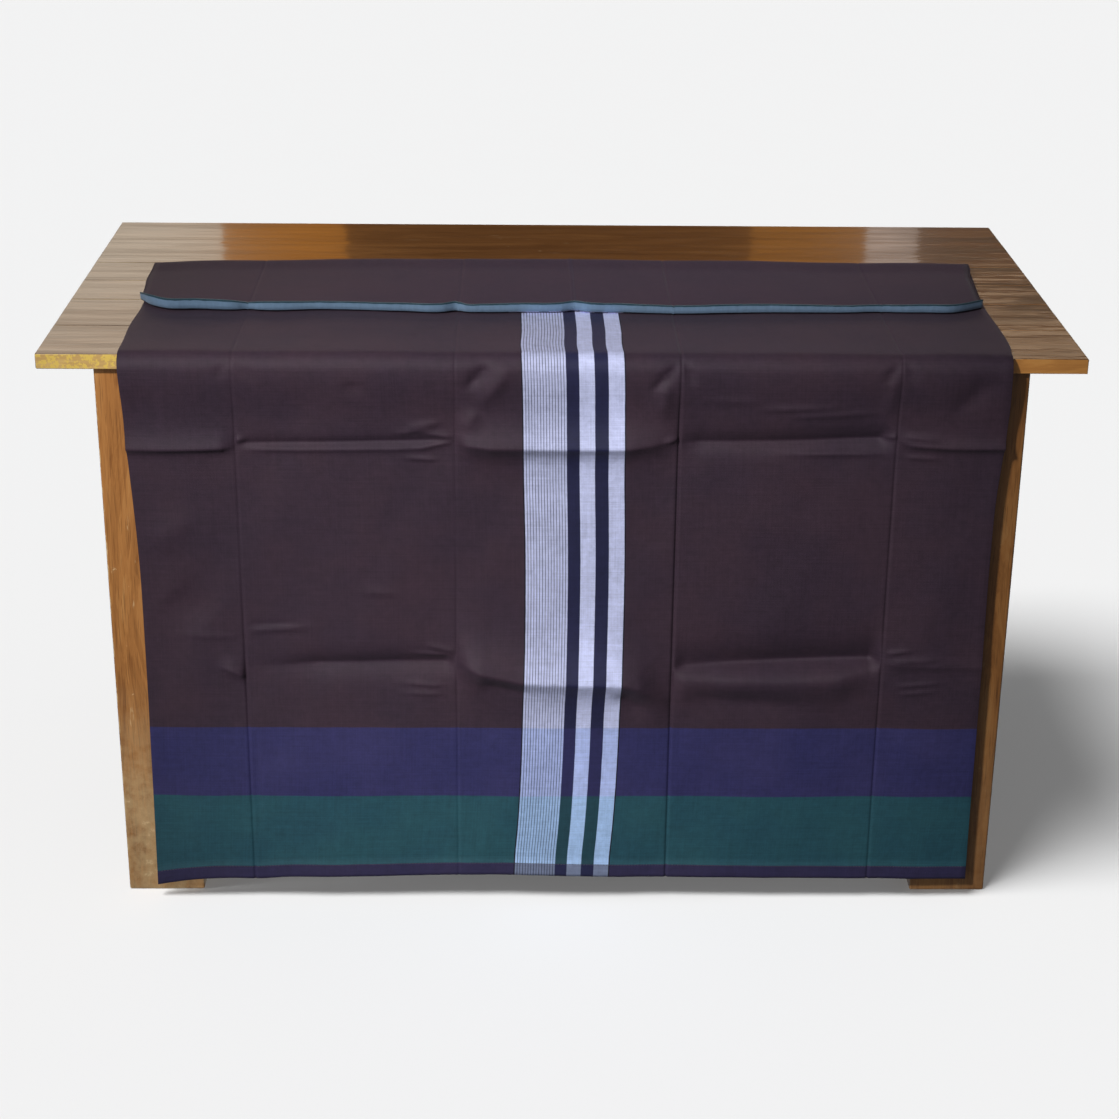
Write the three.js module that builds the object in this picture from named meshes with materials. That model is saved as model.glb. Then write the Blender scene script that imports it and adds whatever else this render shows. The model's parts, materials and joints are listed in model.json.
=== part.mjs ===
// A tube sarong of dark maroon handloom cotton laid flat, two layers deep, over a wooden table.
// Millimetres, +Z up. X runs along the table, the cloth hangs down the side that faces -Y, and
// the origin is under the middle of the whole object, at floor level.
import * as THREE from "three";

// Table
const TABLE_LENGTH = 1220;
const TABLE_DEPTH = 620;
const TABLE_HEIGHT = 715;
const TOP_THICKNESS = 18;
const BOARD_EASE = 2.5; // radius of the front board's long edges
const BOARD_JOINTS = [-194, -80, 8, 95]; // y of the joints between the boards of the top
const FRONT_Y = -TABLE_DEPTH / 2;
const LEG_WIDTH = 95;
const LEG_DEPTH = 45;
const LEG_OUTER_X = 546;
const LEG_INSET_Y = 11;
const APRON_HEIGHT = 70;
const APRON_THICKNESS = 20;
const APRON_SETBACK = 10; // from the legs' outer faces
const SEAM_GAP = 0.3; // between pieces that meet

// Cloth
const CLOTH_WALL = 1.2;
const HEM_TURN = { height: 19, extra: 0.5 }; // the turned hem is a little thicker
const SIDE_LIP = 1.2; // thickness of the side fold that closes the tube
const HALF_GAP = SEAM_GAP / 2;
const LAYER_FACE = HALF_GAP + CLOTH_WALL; // from the line between the layers to a layer's outer face
const TOP_LINE_Z = TABLE_HEIGHT + SEAM_GAP + LAYER_FACE;
// The cloth rounds the table's front edge and stands off it a little.
const EDGE_BEND = { radius: 9, rise: 1.4, forward: 4.6, run: 55 };
const HEM_Z = 30;
const HEM_SWAY_FADES = 90; // height in which the hem's waviness dies out
const BACK_FOLD = { y: 80, radius: 3, settles: 45 }; // the fold along the far side of the top
const FLAP_LINE_RISE = 2 * (CLOTH_WALL + SEAM_GAP);
const FLAP_PUFF = 1.2;
const WAIST_Y = -145;
const WAIST_CURL = { radius: 7, turn: 75, straight: 5, edgeStart: 32, back: 7 }; // degrees, millimetres

// Upright packing creases, as narrow grooves in the cloth
const UPRIGHT_CREASES = [
  { x: -383, depth: 1.4 },
  { x: -126, depth: 0.8 },
  { x: 136, depth: 1.8 },
  { x: 392, depth: 1.6 },
];
const CREASE_HALF_WIDTH = 6;
const PANEL_PUFF = 1.6; // how far the cloth bellies between two upright creases
const TOP_CREASE_SHARE = 0.55; // on the table the grooves and bellies are flatter
const LYING_BEGINS = { z: 640, over: 60 }; // below this height the cloth hangs freely

// Level packing folds of the hanging cloth. They turn over at each upright crease: a rise above 0
// is a ridge and one below 0 is a trough. z0 and z1 are its heights at x0 and x1.
const LEVEL_FOLDS = [
  { x0: -514, x1: -383, z0: 604, z1: 604, rise: 4, above: 16, below: 7 },
  { x0: -383, x1: -126, z0: 606, z1: 612, rise: -3, above: 10, below: 8 },
  { x0: -126, x1: 136, z0: 606, z1: 604, rise: 6, above: 20, below: 9 },
  { x0: 136, x1: 392, z0: 610, z1: 616, rise: -3.5, above: 12, below: 10 },
  { x0: 392, x1: 520, z0: 612, z1: 610, rise: 3, above: 10, below: 8 },
  { x0: -500, x1: -383, z0: 318, z1: 308, rise: 5, above: 15, below: 9 },
  { x0: -383, x1: -126, z0: 322, z1: 326, rise: -2.5, above: 14, below: 14 },
  { x0: -126, x1: 136, z0: 326, z1: 300, rise: 7.5, above: 26, below: 14 },
  { x0: 136, x1: 392, z0: 328, z1: 332, rise: -4, above: 13, below: 10 },
  { x0: 136, x1: 392, z0: 304, z1: 308, rise: 4.5, above: 12, below: 26 },
  { x0: 392, x1: 520, z0: 326, z1: 322, rise: 3, above: 12, below: 10 },
];
const FOLD_SHARPNESS = 1.3; // 2 would be a round wave, 1 a sharp ridge
const FOLD_END_FADE = 26; // length in which a level fold dies out at its ends

// The side edges. s runs up the hanging cloth, back over the top and forward along the flap.
const SIDE_EDGES = [
  { s: 15, left: -507, right: 518 },
  { s: 137, left: -504, right: 517.5 },
  { s: 220, left: -503, right: 517 },
  { s: 359, left: -503.5, right: 515 },
  { s: 461, left: -504, right: 514 },
  { s: 537, left: -510, right: 514 },
  { s: 612, left: -512, right: 516 },
  { s: 715, left: -514, right: 520 },
  { s: 745, left: -514.5, right: 524 },
  { s: 818, left: -517, right: 526 },
  { s: 905, left: -515, right: 525 },
  { s: 995, left: -520, right: 530 },
  { s: 1085, left: -526, right: 536.5 },
  { s: 1105, left: -526, right: 537 },
  { s: 1125, left: -526, right: 536.5 },
  { s: 1168, left: -526, right: 530 },
  { s: 1220, left: -525, right: 527 },
  { s: 1285, left: -521.5, right: 523 },
  { s: 1340, left: -520, right: 520 },
];
const HEM_LINE = [
  { x: -514, z: 16 },
  { x: -470, z: 24 },
  { x: -409, z: 27 },
  { x: -270, z: 30 },
  { x: -125, z: 32 },
  { x: -23, z: 32 },
  { x: 104, z: 29.5 },
  { x: 282, z: 29 },
  { x: 520, z: 27 },
];
const BACK_FOLD_LINE = [
  { x: -530, y: 60 },
  { x: -469, y: 67 },
  { x: -340, y: 77 },
  { x: -183, y: 85 },
  { x: 0, y: 87 },
  { x: 185, y: 84 },
  { x: 382, y: 78 },
  { x: 540, y: 76 },
];
const WAIST_LINE = [
  { x: -521, y: -100 },
  { x: -505, y: -122 },
  { x: -484, y: -143 },
  { x: -441, y: -145 },
  { x: -300, y: -145 },
  { x: -197, y: -149 },
  { x: -126, y: -138 },
  { x: -51, y: -150 },
  { x: 14, y: -134 },
  { x: 71, y: -145 },
  { x: 136, y: -152 },
  { x: 230, y: -149 },
  { x: 353, y: -146 },
  { x: 395, y: -131 },
  { x: 440, y: -140 },
  { x: 483, y: -137 },
  { x: 513, y: -112 },
];

// Columns across the cloth, as panels between the upright creases with a share of each
const PANEL_COLUMNS = [[0.5], [0.33, 0.67], [0.25, 0.5, 0.75], [0.33, 0.67], [0.5]];
const LIP_ROUND = 0.5;

// Stations along the cloth
const LOWER_DROP_Z = [75, 130, 180, 225, 258, 280, 294, 305, 316, 328, 342, 362];
const UPPER_DROP_Z = [400, 460, 520, 560, 582, 596, 606, 616, 628, 646, 672, 697];
const EDGE_ANGLES = [0, 30, 60, 90];
const TOP_Y = [-280, -250, -190, -135, -60, 10, 55];
const FOLD_ANGLES = [-90, -40, 0, 40, 90];
const FLAP_Y = [55, 10, -60, -115];
const CURL_ANGLES = [0, 20];

const SHADES = {
  maroon: { color: 0x3c3040, roughness: 0.9, metalness: 0 },
  flap: { color: 0x3a2f3b, roughness: 0.9, metalness: 0 },
  selvage: { color: 0x4a6376, roughness: 0.85, metalness: 0 },
  board: { color: 0x7a4a26, roughness: 0.35, metalness: 0 },
  leg: { color: 0x8a5a2e, roughness: 0.45, metalness: 0 },
};

const radians = (degrees) => (degrees * Math.PI) / 180;
const clamp01 = (v) => Math.min(1, Math.max(0, v));
const smooth = (v) => clamp01(v) ** 2 * (3 - 2 * clamp01(v));

// Reads a table at a value of one of its columns, in straight steps between the rows.
function lookUp(rows, key, at, column) {
  const next = rows.findIndex((row) => row[key] >= at);
  if (next === 0) return rows[0][column];
  if (next < 0) return rows[rows.length - 1][column];
  const [a, b] = [rows[next - 1], rows[next]];
  return a[column] + ((at - a[key]) / (b[key] - a[key])) * (b[column] - a[column]);
}

const boundsOfPanels = (s) => [
  lookUp(SIDE_EDGES, "s", s, "left"),
  ...UPRIGHT_CREASES.map((crease) => crease.x),
  lookUp(SIDE_EDGES, "s", s, "right"),
];

// How far the grooves and the bellies between them push the cloth out at x
function groovesAndBellies(x, s) {
  const edges = boundsOfPanels(s);
  const panel = Math.max(0, Math.min(4, edges.findIndex((edge) => edge > x) - 1));
  const share = clamp01((x - edges[panel]) / (edges[panel + 1] - edges[panel]));
  const belly = PANEL_PUFF * Math.sin(Math.PI * share) ** 2;
  const grooves = UPRIGHT_CREASES.map(
    (crease) => crease.depth * (1 - smooth(Math.abs(x - crease.x) / CREASE_HALF_WIDTH)),
  );
  return belly - Math.max(...grooves);
}

// The level folds' share of the hanging cloth's relief
function levelFolds(x, z) {
  let sum = 0;
  for (const fold of LEVEL_FOLDS) {
    const inside = Math.min(x - fold.x0, fold.x1 - x);
    const height = z - fold.z0 - ((x - fold.x0) / (fold.x1 - fold.x0)) * (fold.z1 - fold.z0);
    const reach = height > 0 ? fold.above : fold.below;
    const profile = Math.exp(-((Math.abs(height) / reach) ** FOLD_SHARPNESS));
    sum += fold.rise * smooth(inside / FOLD_END_FADE) * profile;
  }
  return sum;
}

// The relief at x and s, which both layers share: away from the table, or up
function relief(x, s) {
  const shape = groovesAndBellies(x, s);
  const deepest = Math.max(...UPRIGHT_CREASES.map((crease) => crease.depth));
  const lying = TOP_CREASE_SHARE * (shape + deepest);
  const hanging = shape + levelFolds(x, s);
  const onTop = smooth((s - LYING_BEGINS.z) / LYING_BEGINS.over);
  return hanging * (1 - onTop) + lying * onTop;
}

// The line between the two layers, seen from the side. Each station gives the place in y and z,
// the direction of the front layer, and the direction in which the relief pushes the cloth.
const line = (y, z, n, push) => ({ y, z, n, push });
const DROP_LINE_Y = FRONT_Y - EDGE_BEND.forward;
const AWAY = [-1, 0];
const UP = [0, 1];
const DOWN = [0, -1];

function dropStation(z) {
  return {
    s: z,
    hem: z <= HEM_Z + HEM_TURN.height,
    at(x) {
      const sway = lookUp(HEM_LINE, "x", x, "z") - HEM_Z;
      return line(DROP_LINE_Y, z + sway * (1 - smooth((z - HEM_Z) / HEM_SWAY_FADES)), AWAY, AWAY);
    },
  };
}

function edgeStation(angle) {
  const { radius, rise } = EDGE_BEND;
  const [across, up] = [Math.cos(radians(angle)), Math.sin(radians(angle))];
  const [y, z] = [DROP_LINE_Y + radius * (1 - across), TOP_LINE_Z + rise - radius * (1 - up)];
  return { s: TABLE_HEIGHT, at: () => line(y, z, [-across, up], [-across, up]) };
}

function topStation(y) {
  const s = TABLE_HEIGHT + y - FRONT_Y;
  const rise = EDGE_BEND.rise * (1 - smooth((y - FRONT_Y) / EDGE_BEND.run));
  const at = (x) => {
    const shift = lookUp(BACK_FOLD_LINE, "x", x, "y") - BACK_FOLD.y;
    return line(y + shift * smooth((y - WAIST_Y) / (BACK_FOLD.y - WAIST_Y)), TOP_LINE_Z + rise, UP, UP);
  };
  return { s, at };
}

const FOLD_S = TABLE_HEIGHT + BACK_FOLD.y - FRONT_Y;

function foldStation(angle) {
  const { radius } = BACK_FOLD;
  const [across, up] = [Math.cos(radians(angle)), Math.sin(radians(angle))];
  const at = (x) => {
    const y = lookUp(BACK_FOLD_LINE, "x", x, "y") - radius * (1 - across);
    return line(y, TOP_LINE_Z + radius * (1 + up), [-across, -up], UP);
  };
  return { s: FOLD_S, at };
}

const waistY = (x) => lookUp(WAIST_LINE, "x", x, "y") + WAIST_CURL.back;

function flapStation(y) {
  const fromFold = BACK_FOLD.y - y;
  const loop = 2 * BACK_FOLD.radius - FLAP_LINE_RISE;
  const share = fromFold / (BACK_FOLD.y - WAIST_Y);
  const puff = FLAP_PUFF * Math.sin(Math.PI * share);
  const rise = FLAP_LINE_RISE + loop * (1 - smooth(fromFold / BACK_FOLD.settles)) + puff;
  const at = (x) => {
    const atFold = lookUp(BACK_FOLD_LINE, "x", x, "y") - BACK_FOLD.y;
    const atWaist = waistY(x) - WAIST_Y - WAIST_CURL.back;
    const shift = atFold * smooth(1 - share) + atWaist * smooth(share);
    return line(y + shift, TOP_LINE_Z + rise, DOWN, UP);
  };
  return { s: FOLD_S + fromFold, at };
}

// The waist end turns up: along an arc by the angle, and then straight on by the length.
function curlStation(angle, length = 0) {
  const [across, up] = [Math.sin(radians(angle)), Math.cos(radians(angle))];
  const forward = WAIST_CURL.radius * across + length * up;
  const rise = WAIST_CURL.radius * (1 - up) + length * across;
  const s = FOLD_S + BACK_FOLD.y - WAIST_Y;
  const z = TOP_LINE_Z + FLAP_LINE_RISE + rise;
  return { s, at: (x) => line(waistY(x) - forward, z, [-across, -up], UP) };
}

// The waist edge starts a seam's gap further along the curl than the cloth ends.
const EDGE_START = WAIST_CURL.edgeStart + (SEAM_GAP / WAIST_CURL.radius) * (180 / Math.PI);
const HEM_TOP = HEM_Z + HEM_TURN.height;
const HEM_STEP = 1; // height in which the turned hem's extra thickness ends

const CLOTH_STATIONS = [
  ...[HEM_Z, HEM_TOP, HEM_TOP + HEM_STEP].map(dropStation),
  ...[...LOWER_DROP_Z, ...UPPER_DROP_Z].map(dropStation),
  ...EDGE_ANGLES.map(edgeStation),
  ...TOP_Y.map(topStation),
  ...FOLD_ANGLES.map(foldStation),
  ...FLAP_Y.map(flapStation),
  ...[...CURL_ANGLES, WAIST_CURL.edgeStart].map((angle) => curlStation(angle)),
];
const WAIST_EDGE_STATIONS = [
  curlStation(EDGE_START),
  curlStation((EDGE_START + WAIST_CURL.turn) / 2),
  curlStation(WAIST_CURL.turn),
  curlStation(WAIST_CURL.turn, WAIST_CURL.straight),
];

// Columns between the side folds: x from the panels' edges at s
function innerColumns() {
  const columns = [];
  PANEL_COLUMNS.forEach((shares, panel) => {
    for (const share of shares)
      columns.push((s) => {
        const edges = boundsOfPanels(s);
        return edges[panel] + share * (edges[panel + 1] - edges[panel]);
      });
    const crease = UPRIGHT_CREASES[panel];
    if (crease)
      for (const side of [-1, 0, 1]) columns.push(() => crease.x + side * CREASE_HALF_WIDTH);
  });
  return columns;
}

const fromLeft = (inset) => (s) => lookUp(SIDE_EDGES, "s", s, "left") + inset;
const fromRight = (inset) => (s) => lookUp(SIDE_EDGES, "s", s, "right") - inset;

// A layer's section across the cloth, as pairs of points on its two faces. n is the distance from
// the line between the layers, towards the front layer.
function frontSection() {
  const end = (from) => [
    { high: { x: from(0), n: -LAYER_FACE }, low: { x: from(SIDE_LIP), n: -LAYER_FACE } },
    { high: { x: from(0), n: LAYER_FACE - LIP_ROUND }, low: { x: from(SIDE_LIP), n: HALF_GAP } },
    { high: { x: from(LIP_ROUND), n: LAYER_FACE }, low: { x: from(SIDE_LIP + LIP_ROUND), n: HALF_GAP } },
  ];
  const middle = innerColumns().map((x) => ({ high: { x, n: LAYER_FACE }, low: { x, n: HALF_GAP } }));
  return [...end(fromLeft), ...middle, ...end(fromRight).reverse()];
}

function backSection() {
  const inset = SIDE_LIP + SEAM_GAP;
  return [fromLeft(inset), ...innerColumns(), fromRight(inset)].map((x) => ({
    high: { x, n: -HALF_GAP },
    low: { x, n: -LAYER_FACE },
  }));
}

// The point of the cloth at a station, for a point of the section
function clothPoint(station, { x: column, n }) {
  const x = column(station.s);
  const { y, z, n: front, push } = station.at(x);
  const turned = station.hem && Math.abs(n) === LAYER_FACE ? Math.sign(n) * HEM_TURN.extra : 0;
  const out = relief(x, station.s);
  return [x, y + front[0] * (n + turned) + push[0] * out, z + front[1] * (n + turned) + push[1] * out];
}

// A closed wall through the section's points at each station
function wall(section, stations) {
  const width = section.length;
  const ring = [...section.map((pair) => pair.high), ...section.map((pair) => pair.low).reverse()];
  const positions = stations.flatMap((station) => ring.flatMap((point) => clothPoint(station, point)));
  const index = [];
  const quad = (a, b, c, d) => index.push(a, b, c, a, c, d);
  for (let row = 0; row + 1 < stations.length; row++)
    for (let k = 0; k < ring.length; k++) {
      const [a, b] = [row * ring.length + k, row * ring.length + ((k + 1) % ring.length)];
      // Both faces are cut along the same diagonal, so that the layers stay parallel.
      if (k < width) quad(a, b, b + ring.length, a + ring.length);
      else quad(b, b + ring.length, a + ring.length, a);
    }
  const last = (stations.length - 1) * ring.length;
  for (let k = 0; k + 1 < width; k++) {
    const [high, low] = [k, ring.length - 1 - k];
    quad(high, low, low - 1, high + 1);
    quad(last + high, last + high + 1, last + low - 1, last + low);
  }
  const geometry = new THREE.BufferGeometry();
  geometry.setAttribute("position", new THREE.Float32BufferAttribute(positions, 3));
  geometry.setIndex(index);
  return geometry;
}

// A box between the low and high ends of its three ranges
function box(ranges) {
  const size = ranges.map(([low, high]) => high - low);
  return new THREE.BoxGeometry(...size).translate(...ranges.map(([low, high]) => (low + high) / 2));
}

// The same box with its four edges along X rounded
function easedBox(ranges, ease) {
  const [length, depth, height] = ranges.map(([low, high]) => high - low);
  const [right, up] = [depth / 2 - ease, height / 2 - ease];
  const outline = new THREE.Shape();
  const corners = [[right, up], [-right, up], [-right, -up], [right, -up]];
  corners.forEach(([y, z], k) => outline.absarc(y, z, ease, radians(90 * k), radians(90 * (k + 1))));
  const options = { depth: length, bevelEnabled: false, curveSegments: 3 };
  const geometry = new THREE.ExtrudeGeometry(outline, options);
  // The outline's two axes turn to Y and Z, and the extrusion to X.
  const axes = [[0, 1, 0], [0, 0, 1], [1, 0, 0]].map((axis) => new THREE.Vector3(...axis));
  geometry.applyMatrix4(new THREE.Matrix4().makeBasis(...axes));
  const [x, y, z] = ranges.map(([low, high]) => (low + high) / 2);
  return geometry.translate(x - length / 2, y, z);
}

const group = new THREE.Group();

function add(name, geometry, shade) {
  const mesh = new THREE.Mesh(geometry, new THREE.MeshStandardMaterial(SHADES[shade]));
  mesh.name = name;
  group.add(mesh);
}

function addTableTop() {
  const joints = [FRONT_Y, ...BOARD_JOINTS, -FRONT_Y];
  const x = [-TABLE_LENGTH / 2, TABLE_LENGTH / 2];
  const z = [TABLE_HEIGHT - TOP_THICKNESS, TABLE_HEIGHT];
  const last = joints.length - 2;
  for (let k = 0; k <= last; k++) {
    const y = [joints[k] + (k > 0 ? HALF_GAP : 0), joints[k + 1] - (k < last ? HALF_GAP : 0)];
    const board = k === 0 ? easedBox([x, y, z], BOARD_EASE) : box([x, y, z]);
    add(`table_board_${k + 1}`, board, "board");
  }
}

// The ranges are those of the front and right-hand pieces, and the others mirror them.
const mirrored = ([low, high]) => [-high, -low];

function addLegsAndAprons() {
  const under = TABLE_HEIGHT - TOP_THICKNESS - SEAM_GAP;
  const legInnerX = LEG_OUTER_X - LEG_WIDTH;
  const legFrontY = FRONT_Y + LEG_INSET_Y;
  const leg = { x: [legInnerX, LEG_OUTER_X], y: [legFrontY, legFrontY + LEG_DEPTH], z: [0, under] };
  add("table_leg_front_left", box([mirrored(leg.x), leg.y, leg.z]), "leg");
  add("table_leg_front_right", box([leg.x, leg.y, leg.z]), "leg");
  add("table_leg_back_left", box([mirrored(leg.x), mirrored(leg.y), leg.z]), "leg");
  add("table_leg_back_right", box([leg.x, mirrored(leg.y), leg.z]), "leg");

  const apronZ = [under - APRON_HEIGHT, under];
  const longX = [SEAM_GAP - legInnerX, legInnerX - SEAM_GAP];
  const longY = [legFrontY + APRON_SETBACK, legFrontY + APRON_SETBACK + APRON_THICKNESS];
  add("table_apron_front", box([longX, longY, apronZ]), "leg");
  add("table_apron_back", box([longX, mirrored(longY), apronZ]), "leg");

  const shortX = [LEG_OUTER_X - APRON_SETBACK - APRON_THICKNESS, LEG_OUTER_X - APRON_SETBACK];
  const reachY = -legFrontY - LEG_DEPTH - SEAM_GAP;
  add("table_apron_left", box([mirrored(shortX), [-reachY, reachY], apronZ]), "leg");
  add("table_apron_right", box([shortX, [-reachY, reachY], apronZ]), "leg");
}

function addSarong() {
  add("sarong_front", wall(frontSection(), CLOTH_STATIONS), "maroon");
  add("sarong_back", wall(backSection(), CLOTH_STATIONS), "flap");
  add("waist_edge_front", wall(frontSection(), WAIST_EDGE_STATIONS), "selvage");
  add("waist_edge_back", wall(backSection(), WAIST_EDGE_STATIONS), "selvage");
}

addTableTop();
addLegsAndAprons();
addSarong();

const whole = new THREE.Box3().setFromObject(group);
group.position.y = -(whole.min.y + whole.max.y) / 2;

export default group;
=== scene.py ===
# A tube sarong of dark maroon handloom cotton laid flat over a varnished wooden table.
import json
import math

import bpy
import numpy as np
from mathutils import Matrix, Vector

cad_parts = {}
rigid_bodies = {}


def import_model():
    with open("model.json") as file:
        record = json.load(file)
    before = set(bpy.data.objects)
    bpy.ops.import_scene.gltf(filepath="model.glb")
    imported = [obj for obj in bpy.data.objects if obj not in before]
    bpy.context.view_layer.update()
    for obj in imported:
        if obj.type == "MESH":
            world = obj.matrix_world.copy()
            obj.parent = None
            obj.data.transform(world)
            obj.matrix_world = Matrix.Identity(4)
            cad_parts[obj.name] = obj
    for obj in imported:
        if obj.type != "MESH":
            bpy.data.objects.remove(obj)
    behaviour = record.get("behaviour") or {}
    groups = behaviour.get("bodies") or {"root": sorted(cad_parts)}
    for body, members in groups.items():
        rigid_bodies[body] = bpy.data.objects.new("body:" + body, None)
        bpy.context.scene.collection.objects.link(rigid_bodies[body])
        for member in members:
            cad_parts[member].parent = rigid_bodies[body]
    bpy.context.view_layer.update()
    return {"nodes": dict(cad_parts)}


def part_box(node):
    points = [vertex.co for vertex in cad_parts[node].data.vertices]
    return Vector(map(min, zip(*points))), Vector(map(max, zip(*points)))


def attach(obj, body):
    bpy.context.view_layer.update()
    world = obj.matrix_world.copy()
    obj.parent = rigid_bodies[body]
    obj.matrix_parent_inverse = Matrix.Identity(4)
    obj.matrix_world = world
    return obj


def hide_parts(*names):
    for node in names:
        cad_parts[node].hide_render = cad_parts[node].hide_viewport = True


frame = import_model()

MM = 0.001


def table(keys, *rows):
    """Rows of named values. The names are given once, in the order of each row's values."""
    return [dict(zip(keys.split(), row)) for row in rows]


# Sizes from the frame, in millimetres, with y counted from the middle of the table
def node_box(name):
    return [np.array(corner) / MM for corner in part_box(name)]


table_front = node_box("table_board_1")[0][1]
table_back = node_box("table_board_5")[1][1]
MIDDLE_Y = (table_front + table_back) / 2
FRONT_Y = table_front - MIDDLE_Y
TABLE_HEIGHT = node_box("table_board_1")[1][2]

# The cloth, in millimetres
WALL = 0.8
LAYER_FACE = 1.35
HALF_GAP = LAYER_FACE - WALL
SEAM_GAP = 0.3
HEM_TURN = {"height": 19, "extra": 0.5}
LIP_ROUND = 0.6
LIP_SHARES = np.array([0, 0, 0.3, 1])
LIP_DEPTH = 0.2
TOP_LINE_Z = TABLE_HEIGHT + SEAM_GAP + LAYER_FACE
EDGE_BEND = {"forward": 5.6, "overhang": 9, "across": 17, "drop": 17, "rise": 0.8, "settles": 46, "run": 55}
EDGE_BEND_Z = TOP_LINE_Z + EDGE_BEND["rise"] - EDGE_BEND["drop"]
HEM_Z = 30
HEM_SWAY_FADES = 90
BACK_FOLD = {"y": 80, "radius": 3, "settles": 45}
FLAP_LINE_RISE = 3
FLAP_PUFF = 1.2
WAIST_Y = -145
WAIST_CURL = {"radius": 7, "turn": 75, "straight": 5, "edge_start": 32, "back": 7}
WAIST_PINCH = {"depth": 0.42, "over": 30}
PANEL_PUFF = 1.6
GROOVE_HALF_WIDTH = 2.8

# Where the relief of the hanging cloth gives way to the lower relief on the table
LYING_BEGINS = {"z": 640, "over": 60}
LYING = {"creases": 0.55, "lift": 2, "waves": 0.3}
ALL_LYING_Z = TABLE_HEIGHT + 20
STROKES_END = {"z": 722, "over": 26}
STROKE_ENDS = {"far": 2, "near": 3, "start": 0.12}

# Upright packing creases: x, and the groove's depth at each height of GROOVE_HEIGHTS
GROOVE_HEIGHTS = [30, 240, 320, 480, 600, 700]
GROOVES = table(
    "x depths",
    (-383, [1.4, 1.5, 1.5, 0.7, 0.8, 0.9]),
    (-126, [0.7, 0.7, 0.9, 0.2, 0.4, 0.8]),
    (136, [1.9, 2.3, 2.6, 2.8, 2.6, 1.6]),
    (392, [1.4, 1.7, 1.4, 1.4, 1.0, 1.0]),
)

# Level packing folds of the hanging cloth. A fold turns over at each crease.
FOLD_SHARPNESS = 1.3
FOLD_DEPTH = 1.32


def fold(rise, above, below, *line, sharpness=FOLD_SHARPNESS):
    """A fold's rise, its reach up and down, and points of x, z and a share of the rise."""
    return {"rise": rise, "above": above, "below": below, "line": line, "sharpness": sharpness}


LEVEL_FOLDS = [
    fold(6.5, 15, 5, (-530, 602, 0.7), (-470, 603, 1), (-400, 605, 1), (-384, 606, 0)),
    fold(-3.6, 6, 3.4, (-383, 609, 0), (-372, 609.5, 0.8), (-250, 611.5, 1), (-170, 613, 1),
         (-127, 614, 0)),
    fold(2.4, 3, 3, (-378, 602, 0), (-340, 602.6, 1), (-190, 604, 1), (-150, 605, 0)),
    fold(12, 20, 14, (-126, 614, 0), (-112, 611, 0.7), (-85, 609, 1), (78, 609, 1), (108, 612, 0.6),
         (135, 618, 0)),
    fold(-8, 12, 9, (137, 612, 0), (160, 612, 0.8), (253, 613, 1), (375, 617, 1), (391, 618, 0)),
    fold(5.5, 9, 4.5, (393, 618, 0), (410, 611, 0.8), (450, 609, 1), (535, 608, 0.9)),
    fold(5.5, 13, 7, (-418, 324, 0), (-400, 318, 1), (-388, 312, 0.9), (-383, 310, 0)),
    fold(-8.5, 12, 14, (-383, 322, 0), (-340, 323, 0.3), (-290, 325, 0.9), (-200, 326, 1),
         (-140, 327, 0.9), (-127, 327, 0)),
    fold(18, 30, 25, (-127, 333, 0), (-112, 327, 0.7), (-98, 322, 1), (-49, 310, 1), (79, 306, 0.9),
         (96, 300, 0.85), (112, 289, 0.5), (134, 270, 0)),
    fold(-13.5, 24, 9, (137, 322, 0), (150, 322, 0.5), (220, 325, 0.9), (267, 326, 1), (380, 330, 1),
         (391, 331, 0)),
    fold(7.5, 13, 26, (137, 308, 0), (150, 307, 0.7), (200, 305, 1), (270, 304, 1), (340, 308, 1),
         (391, 322, 0), sharpness=2),
    fold(3, 10, 5, (394, 328, 0), (410, 326, 0.8), (470, 324, 0.6), (535, 322, 0.3)),
]

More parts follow.
